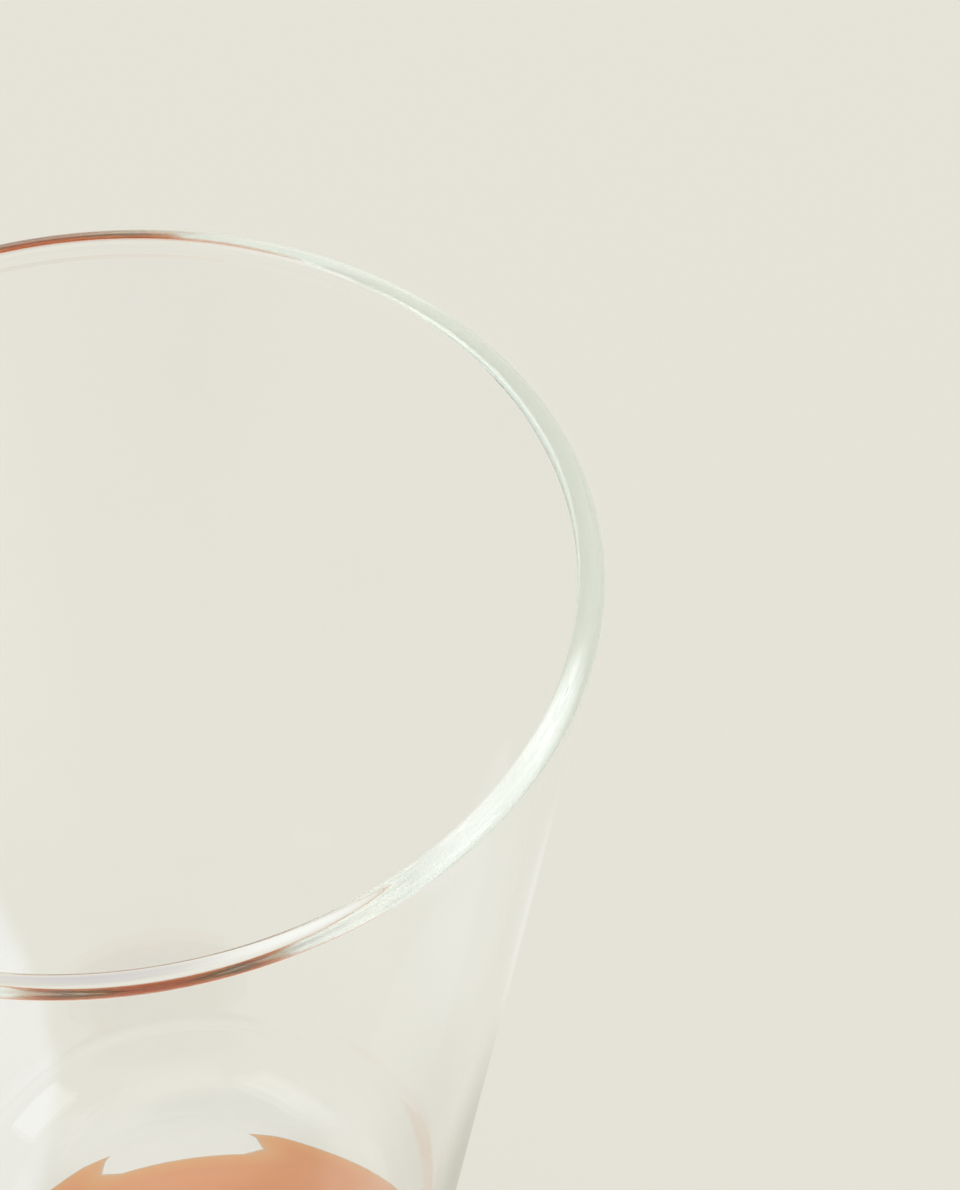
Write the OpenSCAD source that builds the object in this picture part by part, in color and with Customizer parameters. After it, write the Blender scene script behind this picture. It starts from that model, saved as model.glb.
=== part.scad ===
// Short-stemmed drinking glass: a clear tapered bowl on an amber stem and foot.
// Millimetres, +Z up, standing on z = 0 with the axis of the glass on Z.

/* [Bowl] */
// Outside diameter of the bowl at the rim
rim_d = 84; // [70:0.5:100]
// Thickness of the rounded bead along the rim
bead_d = 2.3; // [1.8:0.1:3.2]
// Inside depth of the bowl, from the top of the rim to the floor
bowl_depth = 89.6; // [60:0.2:110]
// Lean of the wall from the upright, in degrees
wall_taper = 12.4; // [4:0.1:14]
// Thickness of the wall
wall_t = 1.72; // [1:0.02:2]
// Thickness of the glass under the floor
base_t = 2.2; // [1.4:0.1:5]
// Rounding of the inside corner between floor and wall
floor_r = 8.8; // [4:0.2:12]
// Rounding of the outside corner between underside and wall
heel_r = 10.8; // [3:0.2:14]
// Rounding of the hollow under the bead, on the inside
bead_blend_r = 0.8; // [0.4:0.1:4]

/* [Stem] */
// Length of the stem between the foot and the bowl
stem_l = 18.6; // [12:0.2:90]
// Diameter of the straight part of the stem
stem_d = 8.6; // [6:0.2:12]
// Diameter of the stem where it is fused to the bowl
stem_top_d = 12; // [10:0.2:16]
// Angle at which the stem runs into the bowl's underside, in degrees
top_flare_angle = 30; // [15:5:60]
// Diameter of the stem where it is fused to the foot
stem_foot_d = 14; // [13:0.2:18]

/* [Foot] */
// Diameter of the foot
foot_d = 68; // [50:0.5:84]
// Thickness of the foot at its rounded edge
foot_edge_t = 2.6; // [2:0.1:4]
// Rise of the foot's upper face from the edge to the stem
foot_rise = 10; // [6:0.5:16]
// Width of the flat ring that the glass stands on
rest_ring_w = 6; // [3:0.5:12]
// Depth of the hollow under the middle of the foot
foot_hollow = 0.8; // [0.4:0.1:1.6]

/* [Hidden] */
$fn = 128;

// Heights of the joints, from the table up
foot_top_z = foot_edge_t + foot_rise;
base_z = foot_top_z + stem_l;
floor_z = base_z + base_t;
rim_z = floor_z + bowl_depth;

// The bead's centre, from which the wall hangs
bead_r = bead_d / 2;
bead_at = [rim_d / 2 - bead_r, rim_z - bead_r];
// Directions square to the wall, outwards, and along it, upwards
wall_out = [cos(wall_taper), -sin(wall_taper)];
wall_up = [sin(wall_taper), cos(wall_taper)];

// The hollow that blends the bead into the inside of the wall
blend_in = wall_t + bead_blend_r - bead_r;
blend_down = sqrt(pow(bead_r + bead_blend_r, 2) - pow(blend_in, 2));
blend_at = bead_at - blend_in * wall_out - blend_down * wall_up;

// The foot's upper face is one arc, level at the edge
foot_edge_x = foot_d / 2 - foot_edge_t / 2;
foot_run = foot_edge_x - stem_foot_d / 2;
foot_arc_r = (pow(foot_run, 2) + pow(foot_rise, 2)) / (2 * foot_rise);
// The hollow under the foot is a shallow cone inside the resting ring
hollow_x = foot_edge_x - rest_ring_w;

// The stem's flares: the lower one runs on into the foot's arc
top_flare_r = (stem_top_d - stem_d) / 2 / (1 - sin(top_flare_angle));
top_flare_h = top_flare_r * cos(top_flare_angle);
foot_flare_r = (stem_foot_d - stem_d) / 2 / (1 - foot_run / foot_arc_r);
foot_flare_h = foot_flare_r * (foot_arc_r - foot_rise) / foot_arc_r;

// Roundings lap the faces that they run into by this much, so that the faces meet in one clean line
seam_lap = 0.01;

clear_glass = [0.90, 0.94, 0.92, 0.45];
amber_glass = [0.80, 0.45, 0.16, 0.85];

// Centre of a rounding of radius r between a level line at z and the wall line `inside` the outer face
function corner_at(inside, z, r) =
    let (along = (z + r - bead_at.y) * sin(wall_taper))
    [bead_at.x + (bead_r - inside - r + along) / cos(wall_taper), z + r];

// Point at height z on the wall line `inside` the outer face
function wall_at(inside, z) = [corner_at(inside, z, 0).x, z];

// Half outline of a tapered cup: level bottom at z, rounded corner, wall up to top_z
module cup_half(inside, z, r, top_z) {
    corner = corner_at(inside, z, r);
    polygon([
        [0, z],
        [corner.x, z],
        corner + r * wall_out,
        wall_at(inside, top_z),
        [0, top_z]
    ]);
    intersection() {
        translate(corner) circle(r + seam_lap);
        translate([0, z]) square([rim_d, 2 * r]);
    }
}

module bowl_half() {
    wall_end = bead_at + bead_r * wall_out;
    difference() {
        cup_half(0, base_z, heel_r, wall_end.y);
        cup_half(wall_t, floor_z, floor_r, rim_z);
    }
    translate(bead_at) circle(bead_r + seam_lap);
}

// Half outline of the glass that fills the corner between the bead and the wall, rounded hollow
module bead_blend_half() {
    difference() {
        polygon([
            bead_at,
            bead_at + (bead_r - wall_t / 2) * wall_out,
            blend_at + (bead_blend_r + wall_t / 2) * wall_out,
            blend_at
        ]);
        translate(blend_at) circle(bead_blend_r + seam_lap);
    }
}

module bowl() {
    color(clear_glass) {
        rotate_extrude() bowl_half();
        rotate_extrude() bead_blend_half();
    }
}

module stem() {
    waist_x = stem_d / 2;
    color(amber_glass) rotate_extrude() difference() {
        translate([0, foot_top_z]) square([max(stem_top_d, stem_foot_d) / 2, stem_l]);
        translate([waist_x, foot_top_z + foot_flare_h])
            square([stem_foot_d, stem_l - foot_flare_h - top_flare_h]);
        translate([waist_x + foot_flare_r, foot_top_z + foot_flare_h]) circle(foot_flare_r);
        translate([waist_x + top_flare_r, base_z - top_flare_h]) circle(top_flare_r);
    }
}

module foot() {
    color(amber_glass) difference() {
        rotate_extrude() {
            difference() {
                square([foot_edge_x, foot_top_z]);
                translate([foot_edge_x, foot_edge_t + foot_arc_r]) circle(foot_arc_r);
            }
            translate([foot_edge_x, foot_edge_t / 2]) circle(foot_edge_t / 2);
        }
        cylinder(h = foot_hollow, r1 = hollow_x, r2 = stem_foot_d / 2);
    }
}

bowl();
stem();
foot();
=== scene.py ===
"""Short-stemmed drinking glass: a clear tapered bowl on an amber stem and foot, in a pale studio."""
import math

import bmesh
import bpy
from bpy.props import FloatProperty, FloatVectorProperty, IntProperty, PointerProperty
from mathutils import Matrix, Vector, noise


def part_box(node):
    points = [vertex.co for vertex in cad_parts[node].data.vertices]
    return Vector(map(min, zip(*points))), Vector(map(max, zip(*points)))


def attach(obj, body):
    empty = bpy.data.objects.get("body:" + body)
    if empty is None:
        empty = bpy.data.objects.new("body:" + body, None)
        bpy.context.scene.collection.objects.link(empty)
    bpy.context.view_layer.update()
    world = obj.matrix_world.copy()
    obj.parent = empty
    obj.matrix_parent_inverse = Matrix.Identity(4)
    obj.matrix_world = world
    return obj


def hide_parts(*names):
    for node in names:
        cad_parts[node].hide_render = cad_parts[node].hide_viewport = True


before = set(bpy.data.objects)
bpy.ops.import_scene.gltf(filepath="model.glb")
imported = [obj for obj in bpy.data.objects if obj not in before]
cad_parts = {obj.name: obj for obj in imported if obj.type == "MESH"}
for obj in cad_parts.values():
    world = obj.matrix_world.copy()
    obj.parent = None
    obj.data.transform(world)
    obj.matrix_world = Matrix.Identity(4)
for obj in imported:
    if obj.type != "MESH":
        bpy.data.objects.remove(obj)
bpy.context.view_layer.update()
BOWL_LOW, BOWL_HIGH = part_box("bowl")
STEM_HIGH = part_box("stem")[1]
FOOT_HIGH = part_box("foot")[1]

bl_info = {
    "name": "Short-Stemmed Glass",
    "version": (1, 0, 0),
    "blender": (4, 5, 0),
    "location": "View3D > Sidebar > Glass",
    "description": "Builds a clear tapered bowl on an amber stem and foot, in a pale studio",
    "category": "Add Mesh",
}

# Steps in which the stretches of the half outlines are drawn.
LEVEL_STEPS = 12
CORNER_STEPS = 16
WALL_STEPS = 24
BEAD_STEPS = 36
BLEND_STEPS = 10
STEM_STEPS = 8
RING_STEPS = 4
EDGE_STEPS = 20
ARC_STEPS = 32
# Points closer than this, in metres, are one point, and edges that bend more than the angle stay sharp.
MERGE_DISTANCE = 1e-7
SHARP_ANGLE = math.radians(30)
# Length of the slow waves in the bowl, and how far apart its two faces lie in the pattern of the waves.
WAVE_SPAN = 0.022
WAVE_SHIFT = 3
# Roughness of the glass where it was wiped, and the light that passes there.
WIPED_ROUGHNESS = 0.002
WIPED_COLOUR = (0.988, 0.988, 0.99)

# Radius of the round table in metres, and the number of its sides.
TABLE_RADIUS = 8
TABLE_SIDES = 96
# Spots of painted light and painted shade on the table, which only the glass mirrors or passes on: the
# colour's name, middle and reach in metres, share of the reach over which the spot fades, and its
# strength.
TABLE_SPOTS = (
    # Painted shade at the front left, which the glass mirrors.
    ("painted_dim_front", (-0.2, -0.28), (0.32, 0.25), 0.8, 1),
    # Painted highlight at the front right, which the rim mirrors.
    ("bright", (0.21, -0.15), (0.22, 0.22), 0.5, 1),
    # Painted glint behind the right side, which the wall's right edge shows as a pale line.
    ("pool", (0.046, 0.053), (0.018, 0.018), 0.7, 0.65),
    # Painted light on the table behind the foot, seen through the bowl's floor.
    ("pool", (0, 0.036), (0.034, 0.011), 0.8, 0.4),
    # Painted shade in front of the foot, which the front wall mirrors.
    ("shade", (0, -0.041), (0.045, 0.012), 0.4, 1),
    # Painted shadow at the foot's right side, which the wall's lower right edge shows as a grey wedge.
    ("shade", (0.034, 0.02), (0.018, 0.03), 0.9, 1),
    # Painted pool of light behind the left side, standing in for light that the glass throws.
    ("pool", (-0.0325, 0.05), (0.0215, 0.042), 0.14, 1),
)
# Compass angles start at the right-hand side of the glass and turn towards its back.
# Dimmer parts of the room: compass angle and height of the middle, angles within which the dimness is
# full and past which it ends, in degrees, and the share of light that is missing there.
DIM_PARTS = (
    (270, 8, 20, 34, 0.5),
    (180, 80, 10, 20, 0.95),
)
# The lamps stand this far from the point that they aim at, in metres.
LAMP_DISTANCE = 1.3
LAMP_AIM = Vector((0, 0, 0.06))
# Softboxes by name: compass angle and height in degrees, width and height in metres, brightness in red,
# green and blue, and whether the table takes their light instead of the glass.
SOFTBOXES = (
    ("window", 330, 22, 0.6, 0.7, (1.2, 1.25, 1.4), False),
    ("high_right", 352, 53, 0.9, 0.5, (0.45, 0.45, 0.5), False),
    ("high_front", 270, 56, 0.8, 0.5, (0.35, 0.35, 0.4), False),
    ("high_left", 200, 52, 0.8, 0.5, (0.9, 0.9, 0.9), False),
    ("back_left", 150, 28, 0.6, 0.4, (0.4, 0.4, 0.5), False),
    ("overhead", 60, 75, 1.2, 1.2, (1.6, 1.7, 2.2), True),
)
# Width of the camera's sensor in millimetres, and the distances between which it sees, in metres.
SENSOR_WIDTH = 36
NEAREST_SEEN = 0.01
FARTHEST_SEEN = 100
# Light that runs down the wall and along the floor is mirrored many times before it leaves the glass.
LIGHT_BOUNCES = 200


def length(name, default, description):
    """A property for a length in metres."""
    return FloatProperty(
        name=name, description=description, default=default, min=0, precision=5, unit="LENGTH"
    )


def angle(name, degrees, description):
    """A property for an angle, given in degrees."""
    return FloatProperty(
        name=name, description=description, default=math.radians(degrees), subtype="ANGLE"
    )


def tint(name, default, description):
    """A property for how strongly glass takes up red, green and blue light, per metre."""
    return FloatVectorProperty(name=name, description=description, default=default, min=0)


def colour(name, default, description):
    """A property for a colour."""
    return FloatVectorProperty(name=name, description=description, default=default, subtype="COLOR")


class GlassSizes(bpy.types.PropertyGroup):
    """Sizes of the glass. Those that the frame gives are read from it."""

    rim_radius: length("Rim radius", BOWL_HIGH.x, "Outside radius at the rim")
    rim_height: length("Rim height", BOWL_HIGH.z, "Height of the rim above the table")
    base_height: length("Base height", BOWL_LOW.z, "Height of the underside of the bowl")
    bead: length("Rim bead", 0.0023, "Thickness of the rounded bead along the rim")
    bead_blend: length("Bead blend", 0.0008, "Rounding of the hollow under the bead, inside")
    wall: length("Wall", 0.00172, "Thickness of the wall")
    base: length("Base", 0.0022, "Thickness of the glass under the floor")
    taper: angle("Taper", 12.4, "Lean of the wall from the upright")
    floor_rounding: length("Floor rounding", 0.0088, "Rounding between floor and wall, inside")
    heel_rounding: length("Heel rounding", 0.0108, "Rounding between underside and wall, outside")
    stem_waist: length("Stem radius", 0.0043, "Radius of the straight part of the stem")
    stem_top: length("Stem top radius", 0.006, "Radius of the stem where it meets the bowl")
    stem_top_angle: angle("Stem top angle", 30, "Angle at which the stem runs into the bowl")
    stem_foot: length("Stem foot radius", STEM_HIGH.x, "Radius of the stem where it meets the foot")
    foot_radius: length("Foot radius", FOOT_HIGH.x, "Radius of the foot")
    foot_height: length("Foot height", FOOT_HIGH.z, "Height of the foot where it meets the stem")
    foot_edge: length("Foot edge", 0.0026, "Thickness of the foot at its rounded edge")
    rest_ring: length("Resting ring", 0.006, "Width of the flat ring that the glass stands on")
    foot_hollow: length("Foot hollow", 0.0008, "Depth of the hollow under the foot")
    fuse: length("Fused depth", 0.00012, "How far the stem reaches into bowl and foot")
    segments: IntProperty(name="Segments", description="Facets round the axis", default=320, min=32)


class GlassFinish(bpy.types.PropertyGroup):
    """Colours of the glass and how even it is."""

    clear_tint: tint("Clear tint", (0.3, 0.1, 0.2), "Light that the clear glass takes up, per metre")
    amber_tint: tint("Amber tint", (30, 450, 1500), "Light that the foot's glass takes up, per metre")
    stem_tint: tint("Stem tint", (110, 420, 950), "Light that the stem's glass takes up, per metre")
    refraction: FloatProperty(name="Refraction", description="Index of refraction", default=1.5)
    unevenness: length("Unevenness", 0.000002, "Depth of the slow waves that blowing leaves")


class StudioSettings(bpy.types.PropertyGroup):
    """Light, background and camera."""

    pale: colour("Pale ground", (0.784, 0.768, 0.679), "Colour of table and background")
    # Painted shade: a darker patch of table at the front left that only the glass mirrors, standing in
    # for the dim room in front.
    painted_dim_front: colour("Painted dim front", (0.55, 0.51, 0.58), "Table at the front left, as the glass mirrors it")
    # Painted light: brighter patches of table that only the glass passes on, standing in for light that
    # the glass throws.
    pool: colour("Light pool", (0.88, 0.885, 0.845), "Table where the glass throws light on it")
    # Painted highlight: a brighter patch of table at the front right that only the glass sees, which
    # the rim mirrors as a white streak.
    bright: colour("Bright front", (1.0, 1.02, 0.98), "Table at the front right, as the rim mirrors it")
    shade: colour("Foot shade", (0.56, 0.55, 0.47), "Table close to the foot, as the wall shows it")
    table_glow: FloatProperty(
        name="Table glow", description="Share of the table's colour that needs no light",
        default=0.86, subtype="FACTOR", min=0, max=1,
    )
    room_light: FloatProperty(name="Room light", description="Strength of the even light", default=1.0)
    distance: length("Camera distance", 0.6, "Distance from the camera to the middle of the rim")
    elevation: angle("Camera elevation", 48.04, "Height of the camera, seen from the rim")
    pan: angle("Camera pan", 2.993, "Turn of the camera to the right of the rim's middle")
    tilt: angle("Camera tilt", -0.428, "Turn of the camera above the rim's middle")
    roll: angle("Camera roll", -5.37, "Turn of the picture about its middle")
    lens: FloatProperty(
        name="Lens", description="Focal length in millimetres", default=219.93, unit="CAMERA"
    )


class Wire:
    """A value in a node tree. Subtracting or multiplying with it adds a Math node."""

    def __init__(self, sheet, socket):
        self.sheet = sheet
        self.socket = socket

    def _math(self, operation, first, second):
        return self.sheet.add("ShaderNodeMath", {"operation": operation}, {0: first, 1: second})

    def __sub__(self, other):
        return self._math("SUBTRACT", self, other)

    def __rsub__(self, other):
        return self._math("SUBTRACT", other, self)

    def __mul__(self, other):
        return self._math("MULTIPLY", self, other)

    def __rmul__(self, other):
        return self._math("MULTIPLY", other, self)


class NodeSheet:
    """An empty node tree of a material or world, and the one method that adds nodes to it."""

    def __init__(self, owner):
        owner.use_nodes = True
        self.tree = owner.node_tree
        self.tree.nodes.clear()

    def add(self, kind, settings=None, sockets=None, output=0):
        node = self.tree.nodes.new(kind)
        for key, value in (settings or {}).items():
            setattr(node, key, value)
        for key, value in (sockets or {}).items():
            if isinstance(value, Wire):
                self.tree.links.new(value.socket, node.inputs[key])
            else:
                node.inputs[key].default_value = value
        return Wire(self, node.outputs[output]) if node.outputs else None


def opaque(shade):
    """A colour with full alpha."""
    return (*shade, 1)


def glass_material(name, take_up, finish):
    """Polished glass, coloured through its depth, with faint wipe marks and blowing waves."""
    material = bpy.data.materials.new(name)
    sheet = NodeSheet(material)
    place = sheet.add("ShaderNodeTexCoord", output="Object")
    haze = sheet.add(
        "ShaderNodeTexNoise", {"noise_dimensions": "3D"},
        {"Vector": place, "Scale": 70, "Detail": 3, "Roughness": 0.6},
    )
    wiped = sheet.add(
        "ShaderNodeMapRange", {"clamp": True},
        {"Value": haze, "From Min": 0.52, "From Max": 0.75, "To Min": 0, "To Max": 1},
    )
    waves = sheet.add("ShaderNodeTexNoise", None, {"Vector": place, "Scale": 45, "Detail": 1})
    bump = sheet.add(
        "ShaderNodeBump", None, {"Strength": 0.003, "Distance": 0.0004, "Height": waves}
    )
    passing = sheet.add(
        "ShaderNodeMix", {"data_type": "RGBA"},
        {"Factor": wiped, "A": (1, 1, 1, 1), "B": opaque(WIPED_COLOUR)}, output="Result",
    )
    surface = sheet.add(
        "ShaderNodeBsdfPrincipled", None,
        {
            "Base Color": passing,
            "Roughness": wiped * WIPED_ROUGHNESS,
            "IOR": finish.refraction,
            "Transmission Weight": 1,
            "Normal": bump,
        },
    )
    density = max(take_up)
    depth = sheet.add(
        "ShaderNodeVolumeAbsorption", None,
        {"Color": opaque([1 - part / density for part in take_up]), "Density": density},
    )
    sheet.add("ShaderNodeOutputMaterial", None, {"Surface": surface, "Volume": depth})
    return material


def soft_spot(sheet, place, middle, reach, fade, strength):
    """Oval on the table: 0 at its edge, `strength` from where a point is `fade` of the reach inside."""
    around = sheet.add(
        "ShaderNodeMapping", {"vector_type": "TEXTURE"},
        {"Vector": place, "Location": (*middle, 0), "Scale": (*reach, 1)},
    )
    nearness = sheet.add(
        "ShaderNodeTexGradient", {"gradient_type": "SPHERICAL"}, {"Vector": around}, output="Fac"
    )
    return sheet.add(
        "ShaderNodeMapRange", {"interpolation_type": "SMOOTHSTEP"},
        {"Value": nearness, "From Min": 0, "From Max": fade, "To Min": 0, "To Max": strength},
    )


def table_material(studio):
    """Matt pale ground: part of its colour needs no light, and the rest takes the shadow. Spots of
    painted light and painted shade are mixed into the part that needs no light, for rays other than the
    camera's.
    """
    material = bpy.data.materials.new("pale_table")
    sheet = NodeSheet(material)
    place = sheet.add("ShaderNodeTexCoord", output="Object")
    direct = sheet.add("ShaderNodeLightPath", output="Is Camera Ray")
    indirect = 1 - direct
    lit = opaque(studio.pale)
    # Painted light and painted shade: each spot tints the glowing colour only for rays that are not the
    # camera's.
    for name, middle, reach, fade, strength in TABLE_SPOTS:
        spot = soft_spot(sheet, place, middle, reach, fade, strength)
        lit = sheet.add(
            "ShaderNodeMix", {"data_type": "RGBA"},
            {"Factor": spot * indirect, "A": lit, "B": opaque(getattr(studio, name))},
            output="Result",
        )
    grain = sheet.add("ShaderNodeTexNoise", None, {"Vector": place, "Scale": 900, "Detail": 2})
    bump = sheet.add("ShaderNodeBump", None, {"Strength": 0.05, "Distance": 0.0002, "Height": grain})
    matt = sheet.add("ShaderNodeBsdfDiffuse", None, {"Color": opaque(studio.pale), "Normal": bump})
    glow = sheet.add("ShaderNodeEmission", None, {"Color": lit, "Strength": 1})
    both = sheet.add("ShaderNodeMixShader", None, {"Fac": studio.table_glow, 1: matt, 2: glow})
    sheet.add("ShaderNodeOutputMaterial", None, {"Surface": both})
    return material


class Outline:
    """Half outline of a turned piece, drawn from point to point in the XZ plane."""

    def __init__(self, x, z):
        self.mesh = bmesh.new()
        self.tip = self.mesh.verts.new((x, 0, z))

    def line(self, x, z, steps=1):
        """A straight stretch in equal steps."""
        start, end = self.tip.co.copy(), Vector((x, 0, z))
        for step in range(1, steps + 1):
            made = bmesh.ops.extrude_vert_indiv(self.mesh, verts=[self.tip])
            self.tip = made["verts"][0]
            self.tip.co = start.lerp(end, step / steps)

    def turn(self, centre, sweep, steps):
        """A round stretch about a centre. A positive sweep, in radians, turns from +X to +Z."""
        made = bmesh.ops.spin(
            self.mesh, geom=[self.tip], cent=(centre.x, 0, centre.y), axis=(0, -1, 0),
            angle=sweep, steps=steps,
        )
        self.tip = next(v for v in made["geom_last"] if isinstance(v, bmesh.types.BMVert))


def make_uneven(turned, depth):
    """Sinks each face by slow waves, different on the two faces of a wall, and never raises it."""
    if not depth:
        return
    sink = {}
    for vert in turned.verts:
        wave = noise.noise(vert.co / WAVE_SPAN + vert.normal * WAVE_SHIFT)
        sink[vert] = vert.normal * depth * (0.5 + 0.5 * wave)
    for vert, move in sink.items():
        vert.co -= move


def turned_piece(name, outline, segments, material, unevenness):
    """Spins an outline round the axis of the glass into one closed, smooth piece."""
    turned = outline.mesh
    bmesh.ops.spin(
        turned, geom=turned.verts[:] + turned.edges[:], cent=(0, 0, 0), axis=(0, 0, 1),
        angle=math.tau, steps=segments, use_merge=True,
    )
    bmesh.ops.remove_doubles(turned, verts=turned.verts, dist=MERGE_DISTANCE)
    bmesh.ops.recalc_face_normals(turned, faces=turned.faces)
    turned.normal_update()
    make_uneven(turned, unevenness)
    for face in turned.faces:
        face.smooth = True
    for edge in turned.edges:
        edge.smooth = edge.calc_face_angle(0) < SHARP_ANGLE
    mesh = bpy.data.meshes.new(name)
    turned.to_mesh(mesh)
    turned.free()
    mesh.materials.append(material)
    piece = bpy.data.objects.new(name, mesh)
    bpy.context.scene.collection.objects.link(piece)
    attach(piece, "root")
    return piece


class BowlPlan:
    """Points and directions of the bowl's half outline, as radius and height."""

    def __init__(self, sizes):
        self.sizes = sizes
        self.bead = sizes.bead / 2
        self.bead_at = Vector((sizes.rim_radius - self.bead, sizes.rim_height - self.bead))
        self.out = Vector((math.cos(sizes.taper), -math.sin(sizes.taper)))
        self.up = Vector((math.sin(sizes.taper), math.cos(sizes.taper)))
        inwards = sizes.wall + sizes.bead_blend - self.bead
        down = math.sqrt((self.bead + sizes.bead_blend) ** 2 - inwards**2)
        self.blend_at = self.bead_at - inwards * self.out - down * self.up
        self.floor_height = sizes.base_height + sizes.base

    def corner(self, inside, height, rounding):
        """Centre of a rounding between a level line and the wall line so far inside its outer face."""
        level = height + rounding
        along = (level - self.bead_at.y) * math.sin(self.sizes.taper)
        reach = (self.bead - inside - rounding + along) / math.cos(self.sizes.taper)
        return Vector((self.bead_at.x + reach, level))


def bowl_outline(sizes):
    """From the middle of the underside, up the outside, over the bead and down to the floor."""
    plan = BowlPlan(sizes)
    heel = plan.corner(0, sizes.base_height, sizes.heel_rounding)
    floor = plan.corner(sizes.wall, plan.floor_height, sizes.floor_rounding)
    quarter = math.pi / 2 - sizes.taper
    to_blend = plan.blend_at - plan.bead_at
    blend_angle = math.atan2(to_blend.y, to_blend.x) % math.tau
    bead_sweep = blend_angle + sizes.taper
    blend_sweep = math.pi - bead_sweep
    wall_end = plan.bead_at + plan.bead * plan.out
    floor_end = floor + sizes.floor_rounding * plan.out
    outline = Outline(0, sizes.base_height)
    outline.line(heel.x, sizes.base_height, LEVEL_STEPS)
    outline.turn(heel, quarter, CORNER_STEPS)
    outline.line(wall_end.x, wall_end.y, WALL_STEPS)
    outline.turn(plan.bead_at, bead_sweep, BEAD_STEPS)
    outline.turn(plan.blend_at, blend_sweep, BLEND_STEPS)
    outline.line(floor_end.x, floor_end.y, WALL_STEPS)
    outline.turn(floor, -quarter, CORNER_STEPS)
    outline.line(0, plan.floor_height, LEVEL_STEPS)
    return outline


def foot_arc(sizes):
    """Centre of the foot's edge, and the radius and run of the arc of its upper face."""
    edge = Vector((sizes.foot_radius - sizes.foot_edge / 2, sizes.foot_edge / 2))
    rise = sizes.foot_height - sizes.foot_edge
    run = edge.x - sizes.stem_foot
    return edge, (run**2 + rise**2) / (2 * rise), run


def stem_outline(sizes):
    """From the middle of the lower end, up the flared and straight sides, to the upper end."""
    low = sizes.foot_height
    high = sizes.base_height
    _, arc, run = foot_arc(sizes)
    slope = math.asin(run / arc)
    low_flare = (sizes.stem_foot - sizes.stem_waist) / (1 - math.sin(slope))
    high_flare = (sizes.stem_top - sizes.stem_waist) / (1 - math.sin(sizes.stem_top_angle))
    low_centre = Vector((sizes.stem_waist + low_flare, low + low_flare * math.cos(slope)))
    high_centre = Vector(
        (sizes.stem_waist + high_flare, high - high_flare * math.cos(sizes.stem_top_angle))
    )
    outline = Outline(0, low - sizes.fuse)
    outline.line(sizes.stem_foot, low - sizes.fuse, STEM_STEPS)
    outline.line(sizes.stem_foot, low)
    outline.turn(low_centre, slope - math.pi / 2, CORNER_STEPS)
    outline.line(sizes.stem_waist, high_centre.y, STEM_STEPS)
    outline.turn(high_centre, sizes.stem_top_angle - math.pi / 2, CORNER_STEPS)
    outline.line(sizes.stem_top, high + sizes.fuse)
    outline.line(0, high + sizes.fuse, STEM_STEPS)
    return outline


def foot_outline(sizes):
    """From the middle of the hollow, over the resting ring and the edge, up to the stem."""
    edge, arc, run = foot_arc(sizes)
    ring = edge.x - sizes.rest_ring
    hollow_arc = (ring**2 + sizes.foot_hollow**2) / (2 * sizes.foot_hollow)
    hollow_centre = Vector((0, sizes.foot_hollow - hollow_arc))
    outline = Outline(0, sizes.foot_hollow)
    outline.turn(hollow_centre, -math.asin(ring / hollow_arc), CORNER_STEPS)
    outline.line(edge.x, 0, RING_STEPS)
    outline.turn(edge, math.pi, EDGE_STEPS)
    outline.turn(Vector((edge.x, sizes.foot_edge + arc)), -math.asin(run / arc), ARC_STEPS)
    outline.line(0, sizes.foot_height, STEM_STEPS)
    return outline


class GLASS_OT_bowl(bpy.types.Operator):
    """Make the clear tapered bowl with its rounded rim"""

    bl_idname = "glass.bowl"
    bl_label = "Bowl"

    def execute(self, context):
        sizes, finish = context.scene.glass_sizes, context.scene.glass_finish
        material = glass_material("clear_glass", finish.clear_tint, finish)
        piece = turned_piece(
            "clear_bowl", bowl_outline(sizes), sizes.segments, material, finish.unevenness
        )
        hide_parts("bowl")
        return {"FINISHED"}


class GLASS_OT_stem(bpy.types.Operator):
    """Make the short amber stem, fused to bowl and foot"""

    bl_idname = "glass.stem"
    bl_label = "Stem"

    def execute(self, context):
        sizes, finish = context.scene.glass_sizes, context.scene.glass_finish
        material = glass_material("amber_stem_glass", finish.stem_tint, finish)
        piece = turned_piece("amber_stem", stem_outline(sizes), sizes.segments, material, 0)
        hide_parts("stem")
        return {"FINISHED"}


class GLASS_OT_foot(bpy.types.Operator):
    """Make the wide amber foot with its raised middle"""

    bl_idname = "glass.foot"
    bl_label = "Foot"

    def execute(self, context):
        sizes, finish = context.scene.glass_sizes, context.scene.glass_finish
        material = glass_material("amber_foot_glass", finish.amber_tint, finish)
        piece = turned_piece("amber_foot", foot_outline(sizes), sizes.segments, material, 0)
        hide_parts("foot")
        return {"FINISHED"}


def compass_way(compass, height):
    """The direction at a compass angle and a height, both in degrees."""
    compass, height = math.radians(compass), math.radians(height)
    level = math.cos(height)
    return Vector((math.cos(compass) * level, math.sin(compass) * level, math.sin(height)))


def add_softbox(name, compass, height, width, tall, brightness, lights_table):
    """A wide lamp that the camera doesn't see, turned towards the glass.

    It lights either the matt table or the glass, so that bright reflections leave the table even.
    """
    away = compass_way(compass, height)
    lamp = bpy.data.lights.new(name, "AREA")
    lamp.shape = "RECTANGLE"
    lamp.size, lamp.size_y = width, tall
    lamp.color = brightness
    # The power goes with the area, so the size of a lamp doesn't change how bright its face is.
    lamp.energy = math.pi * width * tall
    holder = bpy.data.objects.new(name, lamp)
    holder.location = LAMP_AIM + LAMP_DISTANCE * away
    holder.rotation_mode = "QUATERNION"
    holder.rotation_quaternion = away.to_track_quat("Z", "Y")
    holder.visible_camera = False
    holder.visible_diffuse = lights_table
    holder.visible_glossy = not lights_table
    holder.visible_transmission = not lights_table
    bpy.context.scene.collection.objects.link(holder)


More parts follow.
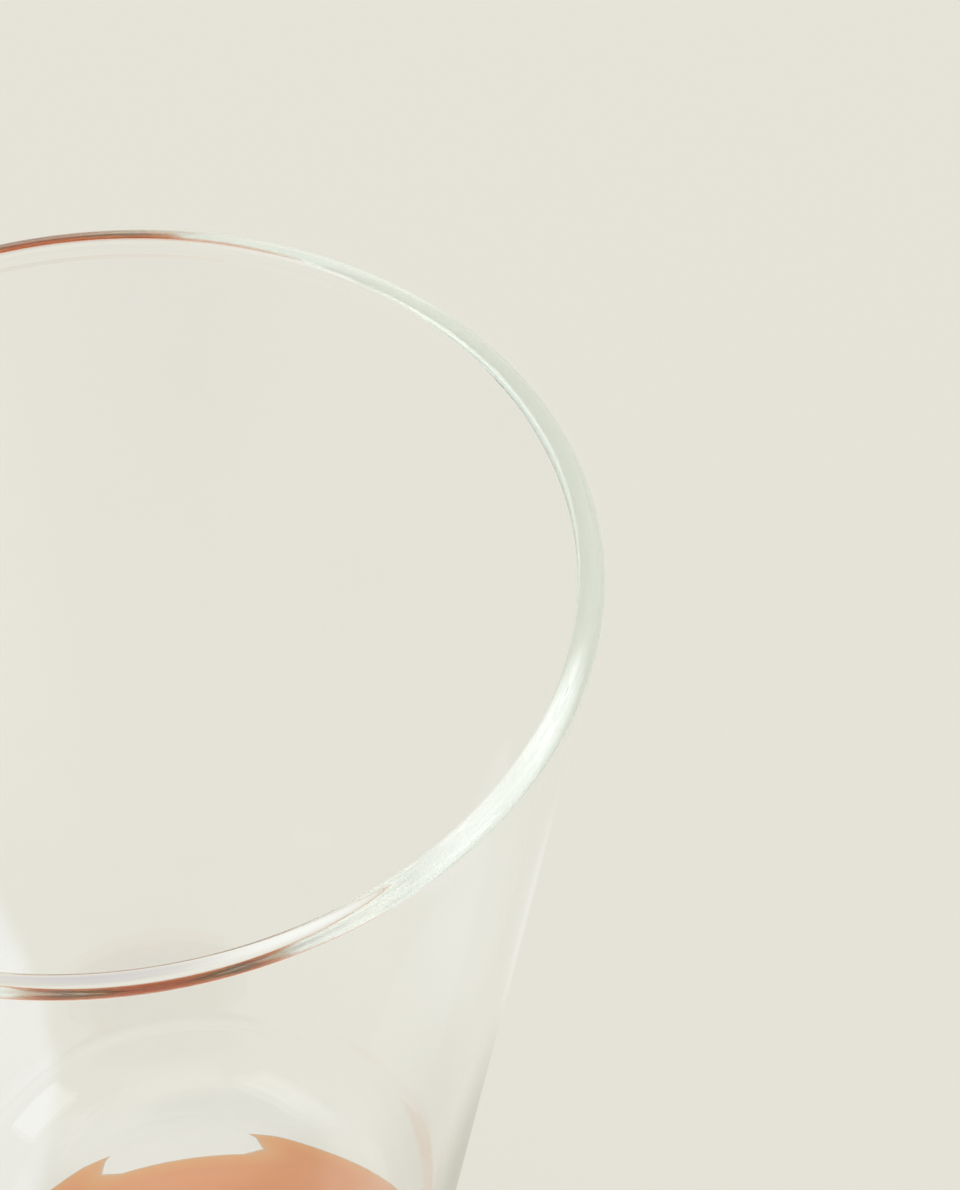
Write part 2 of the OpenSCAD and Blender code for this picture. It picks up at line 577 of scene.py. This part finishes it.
def add_table(studio):
    """A wide round pale table under the glass."""
    disc = bmesh.new()
    bmesh.ops.create_circle(disc, cap_ends=True, radius=TABLE_RADIUS, segments=TABLE_SIDES)
    mesh = bpy.data.meshes.new("table")
    disc.to_mesh(mesh)
    disc.free()
    mesh.materials.append(table_material(studio))
    table = bpy.data.objects.new("table", mesh)
    bpy.context.scene.collection.objects.link(table)


def add_world(studio):
    """Room light, dimmer in places, and plain pale ground where the camera looks past the table."""
    world = bpy.data.worlds.new("pale_room")
    bpy.context.scene.world = world
    sheet = NodeSheet(world)
    towards = sheet.add("ShaderNodeTexCoord", output="Generated")
    strength = studio.room_light
    for compass, height, full, end, missing in DIM_PARTS:
        near = sheet.add(
            "ShaderNodeVectorMath", {"operation": "DOT_PRODUCT"},
            {0: towards, 1: compass_way(compass, height)}, output="Value",
        )
        inside = sheet.add(
            "ShaderNodeMapRange", {"interpolation_type": "SMOOTHSTEP"},
            {
                "Value": near,
                "From Min": math.cos(math.radians(end)),
                "From Max": math.cos(math.radians(full)),
                "To Min": 0,
                "To Max": 1,
            },
        )
        strength = strength * (1 - missing * inside)
    path = sheet.add("ShaderNodeLightPath", output="Is Camera Ray")
    room = sheet.add("ShaderNodeBackground", None, {"Color": opaque(studio.pale), "Strength": strength})
    seen = sheet.add("ShaderNodeBackground", None, {"Color": opaque(studio.pale), "Strength": 1})
    both = sheet.add("ShaderNodeMixShader", None, {"Fac": path, 1: room, 2: seen})
    sheet.add("ShaderNodeOutputWorld", None, {"Surface": both})


def add_camera(studio, rim_middle):
    """The photographer's view: from above the front, turned a little past the rim's middle."""
    back = Vector((0, -math.cos(studio.elevation), math.sin(studio.elevation)))
    right = Vector((1, 0, 0))
    ahead = -back + math.tan(studio.pan) * right + math.tan(studio.tilt) * right.cross(-back)
    ahead.normalize()
    level = ahead.cross(Vector((0, 0, 1))).normalized()
    raised = level.cross(ahead)
    side = math.cos(studio.roll) * level + math.sin(studio.roll) * raised
    top = math.cos(studio.roll) * raised - math.sin(studio.roll) * level
    lens = bpy.data.cameras.new("camera")
    lens.sensor_width = SENSOR_WIDTH
    lens.lens = studio.lens
    lens.clip_start, lens.clip_end = NEAREST_SEEN, FARTHEST_SEEN
    camera = bpy.data.objects.new("camera", lens)
    turn = Matrix((side, top, -ahead)).transposed().to_4x4()
    camera.matrix_world = Matrix.Translation(rim_middle + back * studio.distance) @ turn
    bpy.context.scene.collection.objects.link(camera)
    bpy.context.scene.camera = camera


class GLASS_OT_stage(bpy.types.Operator):
    """Set the table, the lights and the camera"""

    bl_idname = "glass.stage"
    bl_label = "Stage"

    def execute(self, context):
        scene = context.scene
        sizes, studio = scene.glass_sizes, scene.glass_studio
        add_table(studio)
        add_world(studio)
        for softbox in SOFTBOXES:
            add_softbox(*softbox)
        bead_middle = Vector((0, 0, sizes.rim_height - sizes.bead / 2))
        add_camera(studio, bead_middle)
        scene.view_settings.view_transform = "Standard"
        for kind in ("max", "transmission", "glossy", "transparent_max"):
            setattr(scene.cycles, f"{kind}_bounces", LIGHT_BOUNCES)
        return {"FINISHED"}


class GLASS_PT_panel(bpy.types.Panel):
    """The pieces of the glass and the sizes that shape them"""

    bl_label = "Short-Stemmed Glass"
    bl_idname = "GLASS_PT_panel"
    bl_space_type = "VIEW_3D"
    bl_region_type = "UI"
    bl_category = "Glass"

    def draw(self, context):
        for group in GROUPS:
            settings = getattr(context.scene, group)
            column = self.layout.column(align=True)
            for name in settings.bl_rna.properties.keys():
                if name not in ("rna_type", "name"):
                    column.prop(settings, name)
        for operator in OPERATORS:
            self.layout.operator(operator.bl_idname)


GROUPS = {"glass_sizes": GlassSizes, "glass_finish": GlassFinish, "glass_studio": StudioSettings}
OPERATORS = (GLASS_OT_bowl, GLASS_OT_stem, GLASS_OT_foot, GLASS_OT_stage)
CLASSES = (*GROUPS.values(), *OPERATORS, GLASS_PT_panel)


def register():
    for cls in CLASSES:
        bpy.utils.register_class(cls)
    for name, group in GROUPS.items():
        setattr(bpy.types.Scene, name, PointerProperty(type=group))


def unregister():
    for name in GROUPS:
        delattr(bpy.types.Scene, name)
    for cls in reversed(CLASSES):
        bpy.utils.unregister_class(cls)


def main():
    register()
    bpy.ops.glass.bowl()
    bpy.ops.glass.stem()
    bpy.ops.glass.foot()
    bpy.ops.glass.stage()


if __name__ == "__main__":
    main()
